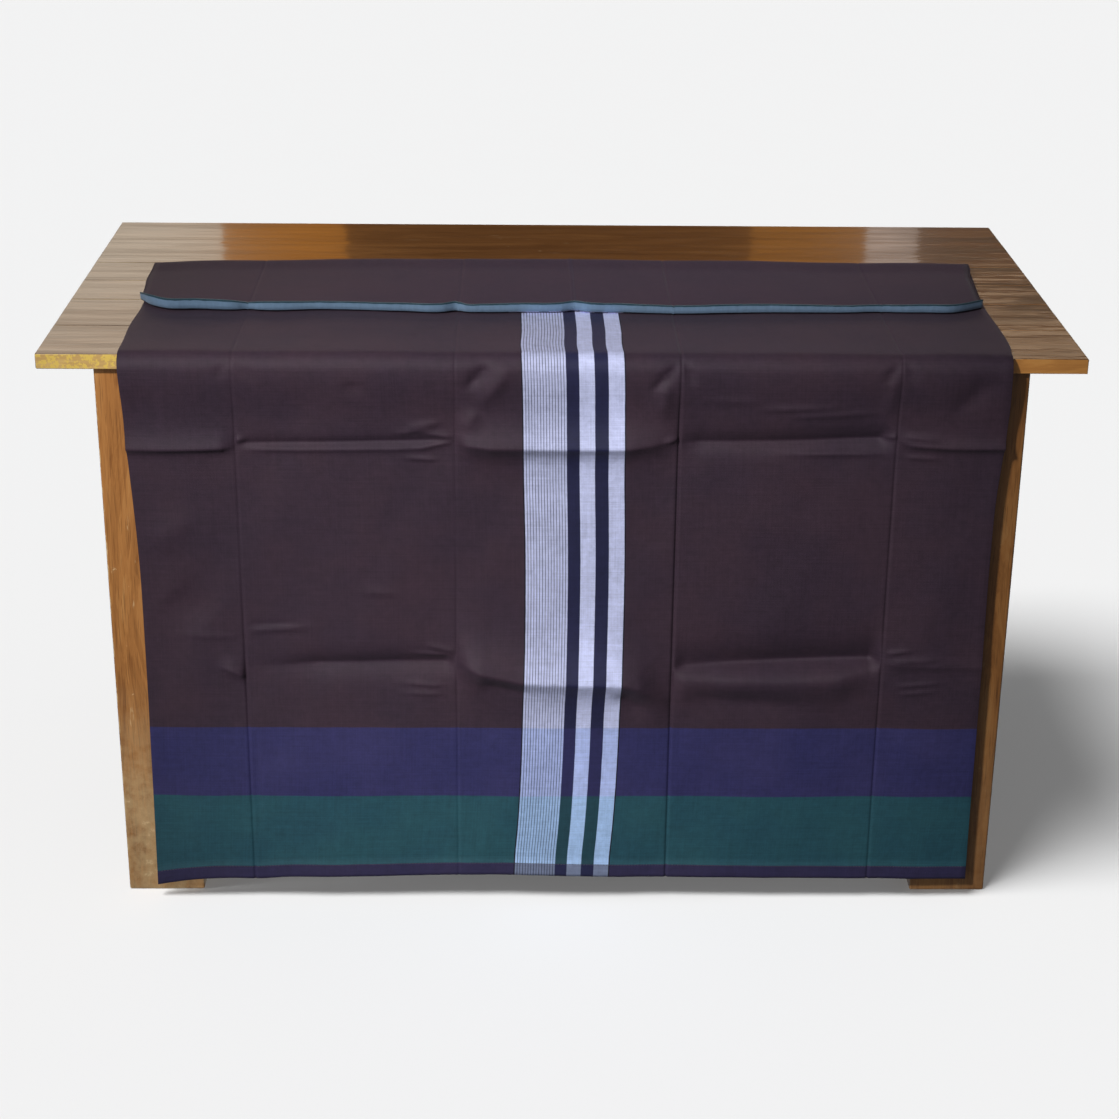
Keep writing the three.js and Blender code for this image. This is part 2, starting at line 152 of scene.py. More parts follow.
# Short creases of the hanging cloth, strongest at x0, z0 and fading out at x1, z1
STROKES = table(
    "x0 z0 x1 z1 rise wide",
    # at the left crease
    (-385, 712, -408, 690, -1.8, 5),
    (-380, 712, -352, 686, -1.6, 5),
    (-383, 616, -370, 612, 3.0, 4),
    (-381, 370, -290, 376, 2.8, 3.2),
    (-381, 377, -310, 380, -1.4, 3),
    (-388, 362, -480, 366, 1.3, 3),
    (-490, 474, -430, 526, 3.4, 18),
    (-470, 420, -420, 380, -3.5, 30),
    (-376, 240, -375, 60, -1.6, 2.4),
    (-360, 200, -250, 120, 1.6, 24),
    (-247, 688, -239, 668, -2.6, 6),
    (-197, 419, -248, 423, 1.8, 3),
    # at the second crease
    (-84, 712, -118, 674, -5.0, 7),
    (-60, 710, -104, 648, 4.0, 11),
    (-100, 654, -118, 624, 3.0, 9),
    (-140, 637, -192, 629, 2.4, 4),
    (-150, 630, -205, 621, 1.8, 3),
    (-127, 618, -172, 626, 3.0, 3.6),
    (-127, 614, -180, 603, 3.0, 3.4),
    (-144, 590, -194, 594, 2.0, 2.8),
    (-127, 341, -168, 354, 3.0, 3.6),
    (-127, 337, -192, 341, 2.2, 3),
    (-138, 297, -202, 302, 2.0, 3),
    (-140, 286, -202, 288, 1.6, 3),
    (-104, 304, -20, 286, -5.0, 12),
    (-90, 232, -20, 170, 1.8, 16),
    (-60, 470, 60, 440, 1.2, 26),
    # at the third crease
    (136, 716, 98, 672, -4.5, 5),
    (137, 716, 154, 682, -3.6, 4.4),
    (120, 692, 116, 634, 4.0, 10),
    (136, 620, 116, 612, 3.0, 4),
    (128, 489, 98, 493, -2.4, 4),
    (143, 442, 177, 442, 1.6, 2.6),
    (66, 290, 114, 256, -5.0, 12),
    (150, 284, 320, 268, -4.5, 17),
    (225, 656, 335, 658, 2.2, 3.2),
    (258, 646, 391, 652, 2.0, 3.2),
    (160, 668, 240, 664, 1.2, 4),
    (200, 520, 330, 490, 1.4, 24),
    # at the right crease
    (384, 600, 240, 600, 3.0, 4),
    (391, 716, 368, 686, -3.2, 4.6),
    (393, 716, 411, 688, -3.0, 4.6),
    (383, 702, 380, 640, 2.2, 6),
    (505, 700, 445, 640, -4.5, 16),
    (393, 623, 370, 614, 3.0, 4),
    (396, 623, 452, 617, 2.4, 4),
    (400, 596, 452, 594, 1.8, 3),
    (395, 342, 432, 347, 2.4, 3),
    (398, 331, 472, 335, 1.8, 3.4),
    (405, 297, 477, 304, 1.8, 3.4),
    (410, 287, 472, 292, 1.5, 3),
    (410, 232, 470, 180, 2.0, 10),
)
STROKE_SHARPNESS = 1.5
STROKE_DEPTH = 1.2

# Long shallow waves of the cloth: lengths along x and along the cloth, start and rise
WAVES = table(
    "x s start rise",
    (310, 430, 0.4, 0.55),
    (-170, 260, 2.1, 0.35),
    (95, -180, 4.0, 0.22),
    (-61, 120, 1.3, 0.12),
    (37, 77, 5.2, 0.06),
)

# The side edges. s runs up the hanging cloth, back over the top and forward along the flap.
SIDE_EDGES = table(
    "s left right",
    (15, -507, 518),
    (137, -505.5, 516.5),
    (220, -504.5, 516),
    (359, -503.5, 515),
    (461, -504, 514),
    (537, -507, 514.5),
    (612, -511, 519.5),
    (650, -512, 521),
    (715, -514, 520),
    (745, -514.5, 524),
    (818, -517, 526),
    (905, -515, 525),
    (995, -520, 530),
    (1085, -526, 536.5),
    (1105, -526, 537),
    (1125, -526, 536.5),
    (1168, -526, 530),
    (1220, -525, 527),
    (1285, -521.5, 523),
    (1340, -520, 520),
)
HEM_LINE = table(
    "x z",
    (-514, 16),
    (-470, 24),
    (-409, 27),
    (-383, 26),
    (-340, 29),
    (-270, 30),
    (-125, 32),
    (-23, 32),
    (104, 29.5),
    (282, 29),
    (520, 27),
)
BACK_FOLD_LINE = table(
    "x y",
    (-530, 60),
    (-469, 67),
    (-340, 77),
    (-183, 85),
    (0, 87),
    (185, 84),
    (382, 78),
    (540, 76),
)
WAIST_LINE = table(
    "x y curl",
    (-526, -98, 1.0),
    (-521, -101, 1.0),
    (-505, -125, 1.5),
    (-484, -143, 1.5),
    (-441, -146, 1.5),
    (-397, -146, 1.3),
    (-383, -143, 1.0),
    (-369, -147, 1.2),
    (-300, -146, 1.15),
    (-197, -150, 1.2),
    (-143, -151, 1.3),
    (-129, -145, 1.35),
    (-116, -151, 1.15),
    (-96, -152, 1.2),
    (-51, -151, 1.3),
    (2, -149, 1.3),
    (15, -145, 1.4),
    (30, -150, 1.35),
    (71, -151, 1.3),
    (136, -153, 1.2),
    (230, -150, 1.25),
    (353, -146, 1.05),
    (395, -142, 1.05),
    (415, -144, 1.1),
    (440, -145, 1.2),
    (483, -143, 1.2),
    (513, -124, 1.2),
    (530, -112, 1.2),
)
# How far the woven stripes lean from a straight line up the cloth
STRIPE_LEAN = table(
    "s x",
    (30, -10),
    (60, -9),
    (95, -6.3),
    (201, -1.2),
    (256, 0),
    (357, 2.3),
    (469, 2.3),
    (571, 0),
    (694, -2.2),
    (740, -4.2),
    (800, -3.2),
    (871, -3.8),
    (900, -4),
    (1110, 0),
    (1340, 2),
)

# The tube's closing seam, in the middle of the back layer: its place, its sway and its outline
SEAM = {"x": 13, "sway": 2, "sway_length": 170}
SEAM_ACROSS = np.array([-3.4, -3.0, 0, 3.0, 3.4, 3.0, -3.0])
SEAM_RISE = np.array([-0.1, 0.3, 0.42, 0.3, -0.1, -0.3, -0.3])

# The stitches of the hem
STITCH = {"length": 2.5, "width": 0.7, "height": 0.25, "sunk": 0.02, "pitch": 3.6}
STITCH_LINE = {"below_turn": 2, "from_side": 6}

# Spacing of the rows along the cloth, in millimetres or degrees, and of the columns across it,
# finer at the creases
DROP_STEPS = table(
    "z0 z1 step",
    (49.6, 268, 9),
    (268, 352, 2.3),
    (352, 426, 3.6),
    (426, 584, 10),
    (584, 626, 2.0),
    (626, 692, 3),
)
TOP_STEPS = table("y0 y1 step", (-300, -120, 10), (-100, 60, 20))
FLAP_STEPS = {"y0": 70, "y1": -132, "step": 11}
TURN_STEPS = {"edge": 10, "fold": 20, "curl": 11, "tip": 6}
HEM_STEP = 4
WAIST_STEP = 1
COLUMN_STEP = 9.5
WAIST_COLUMN_STEP = 4
FINE_COLUMNS = {"step": 4.4, "left": 46, "right": 70, "fade": 20}
GROOVE_COLUMNS = np.array([-1.7, -1, -0.7, -0.35, 0, 0.35, 0.7, 1, 1.7])
PANELS_COUNTED_AT = 500
PANEL_GRID = 400


def smooth(v):
    v = np.clip(v, 0, 1)
    return v * v * (3 - 2 * v)


def curve(rows, key, column, at):
    """A smooth curve through a table's rows."""
    xs = np.array([row[key] for row in rows], float)
    ys = np.array([row[column] for row in rows], float)
    slopes = np.gradient(ys, xs)
    at = np.clip(at, xs[0], xs[-1])
    k = np.clip(np.searchsorted(xs, at) - 1, 0, len(xs) - 2)
    width = xs[k + 1] - xs[k]
    t = (at - xs[k]) / width
    start, end = (1 + 2 * t) * (1 - t) ** 2, t * t * (3 - 2 * t)
    bend = width * (t * (1 - t) ** 2 * slopes[k] - t * t * (1 - t) * slopes[k + 1])
    return start * ys[k] + end * ys[k + 1] + bend


def panel_edges(s):
    sides = [float(curve(SIDE_EDGES, "s", side, s)) for side in ("left", "right")]
    return np.array([sides[0], *(groove["x"] for groove in GROOVES), sides[1]])


def grooves_and_bellies(x, s):
    edges = panel_edges(s)
    panel = np.clip(np.searchsorted(edges, x) - 1, 0, len(edges) - 2)
    share = np.clip((x - edges[panel]) / (edges[panel + 1] - edges[panel]), 0, 1)
    belly = PANEL_PUFF * np.sin(np.pi * share) ** 2
    deepest = np.zeros_like(x)
    for groove in GROOVES:
        depth = np.interp(s, GROOVE_HEIGHTS, groove["depths"])
        near = 1 - smooth(np.abs(x - groove["x"]) / GROOVE_HALF_WIDTH)
        deepest = np.maximum(deepest, depth * near)
    return belly - deepest


def level_folds(x, z):
    total = np.zeros_like(x)
    for row in LEVEL_FOLDS:
        xs, zs, shares = np.array(row["line"], float).T
        share = np.interp(x, xs, shares, left=0, right=0)
        height = z - np.interp(x, xs, zs)
        reach = np.where(height > 0, row["above"], row["below"])
        profile = np.exp(-((np.abs(height) / reach) ** row["sharpness"]))
        total += FOLD_DEPTH * row["rise"] * share * profile
    return total


def strokes(x, z):
    total = np.zeros_like(x)
    for stroke in STROKES:
        start = np.array([stroke["x0"], stroke["z0"]])
        along = np.array([stroke["x1"], stroke["z1"]]) - start
        length = np.hypot(*along)
        u = ((x - start[0]) * along[0] + (z - start[1]) * along[1]) / length**2
        t = np.clip(u, 0, 1)
        away = np.hypot(x - start[0] - t * along[0], z - start[1] - t * along[1])
        far = smooth(STROKE_ENDS["far"] * (1 - t))
        near = smooth(STROKE_ENDS["start"] + STROKE_ENDS["near"] * t)
        profile = np.exp(-((away / stroke["wide"]) ** STROKE_SHARPNESS))
        total += STROKE_DEPTH * stroke["rise"] * (far * near) * profile
    return total


def waves(x, s):
    total = np.zeros_like(x)
    for wave in WAVES:
        total += wave["rise"] * np.sin(2 * np.pi * (x / wave["x"] + s / wave["s"]) + wave["start"])
    return total


def relief(x, s):
    """How far the cloth stands off its plain line."""
    shape = grooves_and_bellies(x, s)
    lying = LYING["creases"] * (shape + LYING["lift"]) + LYING["waves"] * waves(x, s)
    if s > ALL_LYING_Z:
        return lying
    on_top = smooth((s - LYING_BEGINS["z"]) / LYING_BEGINS["over"])
    hanging = shape + level_folds(x, s) + waves(x, s)
    fades_in = smooth((STROKES_END["z"] - s) / STROKES_END["over"])
    return hanging * (1 - on_top) + lying * on_top + strokes(x, s) * fades_in


# The line between the two layers. A row gives s, and for x the place in y and z, the direction of
# the front layer and the direction in which the relief pushes the cloth.
AWAY, UP, DOWN = (-1, 0), (0, 1), (0, -1)
DROP_LINE_Y = FRONT_Y - EDGE_BEND["forward"]
FOLD_S = TABLE_HEIGHT + BACK_FOLD["y"] - FRONT_Y


def turned(angle):
    return math.cos(math.radians(angle)), math.sin(math.radians(angle))


def drop_row(z):
    """The stiff cloth stands off the table's edge and settles back lower down."""
    overhang = EDGE_BEND["overhang"] * math.exp(-(((EDGE_BEND_Z - z) / EDGE_BEND["settles"]) ** 2))

    def place(x):
        sway = (curve(HEM_LINE, "x", "z", x) - HEM_Z) * (1 - smooth((z - HEM_Z) / HEM_SWAY_FADES))
        return DROP_LINE_Y - overhang, z + sway, AWAY, AWAY

    return {"s": z, "hem": z <= HEM_Z + HEM_TURN["height"], "place": place}


def edge_row(angle):
    across, up = turned(angle)
    y = DROP_LINE_Y - EDGE_BEND["overhang"] + EDGE_BEND["across"] * (1 - across)
    z = TOP_LINE_Z + EDGE_BEND["rise"] - EDGE_BEND["drop"] * (1 - up)
    steep = math.atan2(up * EDGE_BEND["across"], across * EDGE_BEND["drop"])
    out = (-math.cos(steep), math.sin(steep))
    return {"s": z, "place": lambda x: (y, z, out, out)}


def top_row(y):
    rise = EDGE_BEND["rise"] * (1 - smooth((y - FRONT_Y) / EDGE_BEND["run"]))

    def place(x):
        shift = curve(BACK_FOLD_LINE, "x", "y", x) - BACK_FOLD["y"]
        share = smooth((y - WAIST_Y) / (BACK_FOLD["y"] - WAIST_Y))
        return y + shift * share, TOP_LINE_Z + rise, UP, UP

    return {"s": TABLE_HEIGHT + y - FRONT_Y, "place": place}


def fold_row(angle):
    across, up = turned(angle)
    z = TOP_LINE_Z + BACK_FOLD["radius"] * (1 + up)

    def place(x):
        y = curve(BACK_FOLD_LINE, "x", "y", x) - BACK_FOLD["radius"] * (1 - across)
        return y, z, (-across, -up), UP

    return {"s": FOLD_S, "place": place}


def waist_y(x):
    return curve(WAIST_LINE, "x", "y", x) + WAIST_CURL["back"]


def flap_row(y):
    from_fold = BACK_FOLD["y"] - y
    share = from_fold / (BACK_FOLD["y"] - WAIST_Y)
    loop = (2 * BACK_FOLD["radius"] - FLAP_LINE_RISE) * (1 - smooth(from_fold / BACK_FOLD["settles"]))
    z = TOP_LINE_Z + FLAP_LINE_RISE + loop + FLAP_PUFF * math.sin(math.pi * share)

    def place(x):
        at_fold = curve(BACK_FOLD_LINE, "x", "y", x) - BACK_FOLD["y"]
        at_waist = waist_y(x) - WAIST_Y - WAIST_CURL["back"]
        return y + at_fold * smooth(1 - share) + at_waist * smooth(share), z, DOWN, UP

    return {"s": FOLD_S + from_fold, "place": place}


def curl_row(angle, length=0):
    """A row of the waist end, which turns up by the angle and then runs straight on.

    The two layers come closer together, by pinch, towards its tip."""
    up, across = turned(angle)
    forward = WAIST_CURL["radius"] * across + length * up
    rise = WAIST_CURL["radius"] * (1 - up) + length * across
    arc = WAIST_CURL["radius"] * math.radians(angle) + length

    def place(x):
        size = curve(WAIST_LINE, "x", "curl", x)
        z = TOP_LINE_Z + FLAP_LINE_RISE + rise * size
        return waist_y(x) - forward * size, z, (-across, -up), UP

    begun = (angle - WAIST_CURL["edge_start"]) / WAIST_PINCH["over"]
    pinch = WAIST_PINCH["depth"] * float(smooth(begun))
    return {"s": FOLD_S + BACK_FOLD["y"] - WAIST_Y + arc, "place": place, "pinch": pinch}


def spread(start, end, step):
    return np.linspace(start, end, max(2, 1 + round(abs(end - start) / step)))


EDGE_START = WAIST_CURL["edge_start"]
HEM_TOP = HEM_Z + HEM_TURN["height"]
CLOTH_ROWS = [
    *(drop_row(z) for z in spread(HEM_Z, HEM_TOP, HEM_STEP)),
    *(drop_row(z) for part in DROP_STEPS for z in spread(*part.values())[:-1]),
    drop_row(DROP_STEPS[-1]["z1"]),
    *(edge_row(angle) for angle in spread(0, 90, TURN_STEPS["edge"])),
    *(top_row(y) for part in TOP_STEPS for y in spread(*part.values())),
    *(fold_row(angle) for angle in spread(-90, 90, TURN_STEPS["fold"])),
    *(flap_row(y) for y in spread(*FLAP_STEPS.values())),
    *(curl_row(angle) for angle in spread(0, EDGE_START, TURN_STEPS["curl"])),
]
WAIST_ROWS = [
    *(curl_row(angle) for angle in spread(EDGE_START + 1, WAIST_CURL["turn"], TURN_STEPS["tip"])),
    *(curl_row(WAIST_CURL["turn"], length) for length in spread(1, WAIST_CURL["straight"], WAIST_STEP)),
]


def columns(step):
    """x of the inner columns at s, closer together at the upright creases."""
    offsets = GROOVE_HALF_WIDTH * GROOVE_COLUMNS
    margin = offsets[-1]
    scale = step / COLUMN_STEP

    def density(share, width, first, last):
        """How many columns a millimetre of a panel holds at a share of its width."""
        x = share * width
        fine = 1 / (FINE_COLUMNS["step"] * scale)
        coarse = 1 / step
        near = np.zeros_like(x)
        if not first:
            near = np.maximum(near, 1 - smooth((x - FINE_COLUMNS["right"]) / FINE_COLUMNS["fade"]))
        if not last:
            from_right = width - x - FINE_COLUMNS["left"]
            near = np.maximum(near, 1 - smooth(from_right / FINE_COLUMNS["fade"]))
        return coarse + (fine - coarse) * near

    shares = []
    widths = np.diff(panel_edges(PANELS_COUNTED_AT))
    for k, width in enumerate(widths):
        grid = np.linspace(0, 1, PANEL_GRID)
        total = np.cumsum(density(grid, width, k == 0, k == len(widths) - 1)) * width / PANEL_GRID
        count = max(2, round(total[-1]))
        targets = np.linspace(total[0], total[-1], count + 2)[1:-1]
        shares.append(np.interp(targets, total, grid))

    def at(s):
        edges = panel_edges(s)
        parts = []
        for k, share in enumerate(shares):
            low = edges[k] + (margin if k else 0)
            high = edges[k + 1] - (margin if k + 1 < len(shares) else 0)
            parts.append(low + share * (high - low))
            if k < len(GROOVES):
                parts.append(GROOVES[k]["x"] + offsets)
        return np.concatenate(parts)

    return at


def section(layer, inner):
    """x and n of the two faces of a layer at s. n counts towards the front layer."""

    def faces(s):
        left, right = panel_edges(s)[[0, -1]]
        x = inner(s)
        if layer == "back":
            inset = WALL + SEAM_GAP
            x = np.concatenate([[left + inset], x, [right - inset]])
            return x, np.full_like(x, -HALF_GAP), x, np.full_like(x, -LAYER_FACE)
        rounds = LIP_SHARES * LIP_ROUND
        heights = [-LAYER_FACE, *(LAYER_FACE - rounds[:0:-1])]
        lips = WALL + rounds
        depths = [-LAYER_FACE, HALF_GAP - LIP_DEPTH, HALF_GAP, HALF_GAP]
        high_x = np.concatenate([left + rounds, x, right - rounds[::-1]])
        high_n = np.concatenate([heights, np.full_like(x, LAYER_FACE), heights[::-1]])
        low_x = np.concatenate([left + lips, x, right - lips[::-1]])
        low_n = np.concatenate([depths, np.full_like(x, HALF_GAP), depths[::-1]])
        return high_x, high_n, low_x, low_n

    return faces


def cloth_points(row, x, n):
    """Points of the cloth in metres at a row."""
    y, z, front, push = row["place"](x)
    if row.get("hem"):
        n = n + np.where(np.abs(n) == LAYER_FACE, np.sign(n) * HEM_TURN["extra"], 0)
    n = n - np.sign(n) * row.get("pinch", 0)
    out = relief(x, row["s"])
    points = np.stack([x, y + front[0] * n + push[0] * out, z + front[1] * n + push[1] * out], 1)
    points[:, 1] += MIDDLE_Y
    return points * MM


def new_object(name, vertices, faces, uv=None):
    mesh = bpy.data.meshes.new(name)
    mesh.from_pydata([tuple(v) for v in vertices], [], [tuple(f) for f in faces])
    mesh.shade_smooth()
    if uv is not None:
        layer = mesh.uv_layers.new(name="cloth")
        corners = np.zeros(len(mesh.loops), np.int32)
        mesh.loops.foreach_get("vertex_index", corners)
        layer.data.foreach_set("uv", np.asarray(uv, np.float32)[corners].ravel())
    made = bpy.data.objects.new(name, mesh)
    bpy.context.scene.collection.objects.link(made)
    return made


def cloth_wall(name, layer, rows, step):
    """A closed thin shell through the rows. Its map holds the place on the flat cloth, in metres."""
    faces_at = section(layer, columns(step))
    rings, maps = [], []
    middle_before, along = None, 0
    for row in rows:
        high_x, high_n, low_x, low_n = faces_at(row["s"])
        width = len(high_x)
        x = np.concatenate([high_x, low_x[::-1]])
        n = np.concatenate([high_n, low_n[::-1]])
        ring = cloth_points(row, x, n)
        rings.append(ring)
        lean = float(curve(STRIPE_LEAN, "s", "x", row["s"]))
        middle = ring[width // 2]
        if middle_before is not None and not row.get("pinch"):
            along += float(np.linalg.norm(middle - middle_before))
        if row.get("pinch"):
            along = (row["s"] - rows[0]["s"]) * MM
        middle_before = middle
        maps.append(np.stack([(x - lean) * MM, np.full_like(x, along)], 1))
    size = 2 * width
    quads = []
    for r in range(len(rows) - 1):
        k = np.arange(size)
        a, b = r * size + k, r * size + (k + 1) % size
        quads.append(np.stack([a, b, b + size, a + size], 1))
    k = np.arange(width - 1)
    last = (len(rows) - 1) * size
    high, low = k, size - 1 - k
    quads.append(np.stack([high, low, low - 1, high + 1], 1))
    quads.append(np.stack([last + high, last + high + 1, last + low - 1, last + low], 1))
    return new_object(name, np.concatenate(rings), np.concatenate(quads).tolist(), np.concatenate(maps))


# Node helpers
class Nodes:
    """A material's node tree, with short calls for the nodes used here."""

    def __init__(self, name):
        self.material = bpy.data.materials.new(name)
        self.material.use_nodes = True
        self.tree = self.material.node_tree
        self.shader = self.tree.nodes["Principled BSDF"]

    def new(self, kind, feeds=None, **settings):
        """A node with its settings, and with what is fed to its inputs."""
        node = self.tree.nodes.new(kind)
        for key, value in settings.items():
            setattr(node, key, value)
        for key, value in (feeds or {}).items():
            self.feed(node.inputs[key], value)
        return node

    def feed(self, socket, value):
        if isinstance(value, bpy.types.NodeSocket):
            self.tree.links.new(value, socket)
        elif isinstance(value, (tuple, list)) and len(value) == 3 and socket.type == "RGBA":
            socket.default_value = (*value, 1)
        else:
            socket.default_value = value

    def math(self, operation, a, b=0.0, c=0.0):
        return self.new("ShaderNodeMath", {0: a, 1: b, 2: c}, operation=operation).outputs[0]

    def times(self, a, b):
        return self.math("MULTIPLY", a, b)

    def less(self, a, b):
        return self.math("SUBTRACT", a, b)

    def total(self, start, *parts):
        """start, plus each part's value times its share."""
        for value, share in parts:
            start = self.math("MULTIPLY_ADD", value, share, start)
        return start

    def shaken(self, value, noise, by):
        """The value, moved to and fro by the noise."""
        return self.math("MULTIPLY_ADD", self.less(noise, 0.5), by, value)

    def between(self, value, low, high, soft):
        """1 where the value lies between low and high, with soft edges."""
        return self.less(self.step(value, low, soft), self.step(value, high, soft))

    def step(self, value, at, soft):
        feeds = {"Value": value, "From Min": at - soft, "From Max": at + soft}
        return self.new("ShaderNodeMapRange", feeds, interpolation_type="SMOOTHSTEP").outputs["Result"]

    def mix(self, factor, a, b, blend="MIX"):
        feeds = {0: factor, 6: a, 7: b}
        return self.new("ShaderNodeMix", feeds, data_type="RGBA", blend_type=blend).outputs[2]

    def tint(self, color, by):
        return self.mix(1.0, color, by, "MULTIPLY")

    def gray(self, value):
        return self.new("ShaderNodeCombineColor", {0: value, 1: value, 2: value}).outputs[0]

    def split(self, vector):
        return list(self.new("ShaderNodeSeparateXYZ", {0: vector}).outputs)

    def noise(self, vector, scale, detail=3.0, roughness=0.5, distortion=0.0):
        feeds = {"Vector": vector, "Scale": scale, "Detail": detail}
        feeds.update({"Roughness": roughness, "Distortion": distortion})
        return self.new("ShaderNodeTexNoise", feeds).outputs["Fac"]

    def stretch(self, vector, scale, offset=(0, 0, 0)):
        feeds = {"Vector": vector, "Scale": scale, "Location": offset}
        return self.new("ShaderNodeMapping", feeds).outputs["Vector"]

    def ramp(self, value, stops):
        node = self.new("ShaderNodeValToRGB", {"Fac": value})
        elements = node.color_ramp.elements
        while len(elements) < len(stops):
            elements.new(0.5)
        for element, (position, color) in zip(elements, stops):
            element.position = position
            element.color = (*color, 1)
        return node.outputs["Color"]

    def bump(self, height, strength, distance, normal=None):
        feeds = {"Height": height, "Strength": strength, "Distance": distance}
        if normal is not None:
            feeds["Normal"] = normal
        return self.new("ShaderNodeBump", feeds).outputs["Normal"]

    def set(self, **values):
        for key, value in values.items():
            self.feed(self.shader.inputs[key.replace("_", " ")], value)


def srgb(r, g, b):
    """A colour given as 0 to 255 screen values, as linear light."""
    values = [v / 255 for v in (r, g, b)]
    return tuple(v / 12.92 if v <= 0.04045 else ((v + 0.055) / 1.055) ** 2.4 for v in values)


# Colours of the yarns, with a painted highlight on the waist edge's teal and painted shade for the back
# layer
MAROON = srgb(55, 39, 52)
BLUE = srgb(48, 46, 92)
GREEN = srgb(34, 77, 89)
HEM_COLOR = srgb(48, 43, 76)
LINE = srgb(20, 16, 30)
# Painted highlight along the waist edge's pale middle, and the darker teal beside it, partly the yarn's own
# colour and partly painted shade
TEAL_PAINTED_HIGHLIGHT = srgb(114, 142, 170)
TEAL_DARK = srgb(24, 58, 70)
# Painted shade: darkens the whole back layer, standing in for the weaker light on the flap
BACK_PAINTED_SHADE = (0.88, 0.78, 0.96)
DYE_COOL = (0.97, 1.0, 1.05)
DYE_WARM = (1.03, 1.0, 0.96)

# What the white and the navy stripes look like where they cross each border, from the hem up
WHITES = [srgb(122, 132, 160), srgb(166, 196, 238), srgb(176, 190, 238), srgb(198, 203, 238)]
NAVIES = [srgb(36, 38, 74), srgb(30, 66, 78), srgb(42, 41, 84), srgb(32, 33, 66)]

# Borders, in metres up the cloth, and head stripes, in metres across it
BORDERS = {"hem": 0.0175, "green": 0.1135, "blue": 0.2085}
HEAD = {"start": -0.0454, "fine_end": 0.005, "end": 0.0726}
HEAD_STRIPES = {"white_1": 0.020, "navy_2": 0.038, "white_2": 0.054}
HEAD_LINE = 0.0015
FINE_PITCH = 0.00345
FINE_LINE = {"from": 0.68, "to": 0.97, "soft": 0.06}
YARN = 0.0005

# How far the yarns' unevenness moves the borders and the stripes, and how soft their edges are
BORDER_SHAKE = 0.0010
STRIPE_SHAKE = 0.0006
BORDER_SOFT = 0.0006
STRIPE_SOFT = 0.0004


def cloth_place(n):
    """The place on the flat cloth in metres, and its parts across and along the cloth."""
    place = n.new("ShaderNodeUVMap", uv_map="cloth").outputs["UV"]
    return [place, *n.split(place)[:2]]


def cloth_material(name, head):
    """Woven cotton. head says whether the panel of stripes crosses it; where it doesn't, on the back layer,
    the colour is darkened by painted shade.
    """
    n = Nodes(name)
    place, across, along = cloth_place(n)

    # The yarns are uneven, so that no border is a ruled line.
    v = n.shaken(along, n.noise(n.stretch(place, (60, 900, 1)), 1.0, 2.0), BORDER_SHAKE)
    u = n.shaken(across, n.noise(n.stretch(place, (900, 60, 1)), 1.0, 2.0), STRIPE_SHAKE)
    zones = [n.step(v, border, BORDER_SOFT) for border in BORDERS.values()]
    ground = by_zone(n, zones, [HEM_COLOR, GREEN, BLUE, MAROON])

    # Streaks of thicker and thinner yarn, and a wider unevenness of the dye
    streaks_v = n.noise(n.stretch(place, (11, 620, 1)), 1.0, 4.0, 0.65)
    streaks_u = n.noise(n.stretch(place, (560, 13, 1)), 1.0, 4.0, 0.65)
    cloud = n.noise(place, 9.0, 4.0, 0.55)
    mottle = n.noise(place, 95.0, 5.0, 0.75)
    shade = n.total(-0.15, (streaks_v, 0.55), (streaks_u, 0.45), (cloud, 0.60), (mottle, 0.70))
    ground = n.tint(ground, n.mix(n.step(cloud, 0.5, 0.16), DYE_COOL, DYE_WARM))
    # Without the head stripes this is the back layer, its colour darkened all over by painted shade
    color = head_stripes(n, u, zones, ground) if head else n.tint(ground, BACK_PAINTED_SHADE)
    color = n.tint(color, n.gray(shade))

    # The plain weave: yarns over and under each other
    waves_u = n.math("SINE", n.times(across, math.pi / YARN))
    waves_v = n.math("SINE", n.times(along, math.pi / YARN))
    slubs = n.total(0.0, (streaks_v, 1.6), (streaks_u, 1.2))
    weave = n.bump(n.times(waves_u, waves_v), 0.35, 0.00012)
    n.set(Base_Color=color, Normal=n.bump(slubs, 0.35, 0.0003, weave))
    n.set(Roughness=0.68, Specular_IOR_Level=0.34)
    n.set(Sheen_Weight=0.07, Sheen_Roughness=0.4, Sheen_Tint=(0.80, 0.78, 0.92))
    return n.material


def by_zone(n, zones, colors):
    """One colour below the first border, then one more for each border."""
    color = colors[0]
    for zone, above in zip(zones, colors[1:]):
        color = n.mix(zone, color, above)
    return color


def head_stripes(n, u, zones, ground):
    """Fine light lines, then navy, white, navy and white stripes, over the ground's colour."""
    light = by_zone(n, zones, WHITES)
    dark = by_zone(n, zones, NAVIES)
    phase = n.math("FRACT", n.math("DIVIDE", n.less(u, HEAD["start"]), FINE_PITCH))
    thin = n.between(phase, FINE_LINE["from"], FINE_LINE["to"], FINE_LINE["soft"])
    fine = n.mix(thin, n.mix(0.10, light, ground), n.mix(0.30, LINE, light))
    stripes = n.mix(n.step(u, HEAD["fine_end"], STRIPE_SOFT), fine, dark)
    for name, start in HEAD_STRIPES.items():
        stripe = light if name.startswith("white") else dark
        stripes = n.mix(n.step(u, start, STRIPE_SOFT), stripes, stripe)
    inside = n.between(u, HEAD["start"], HEAD["end"], STRIPE_SOFT)
    edge = n.between(u, HEAD["start"] - HEAD_LINE, HEAD["end"] + HEAD_LINE, STRIPE_SOFT)
    return n.mix(inside, n.mix(edge, ground, LINE), stripes)


# The waist edge's pale middle, a painted highlight along its curl, its ribs, and the white stripes' short
# ends under it, in metres
EDGE_HIGHLIGHT_BAND = (0.0010, 0.0088)
EDGE_RIB = 0.0009
STRIPE_ENDS = [(-0.067, -0.030), (-0.018, -0.003), (0.000, 0.018), (0.033, 0.053)]


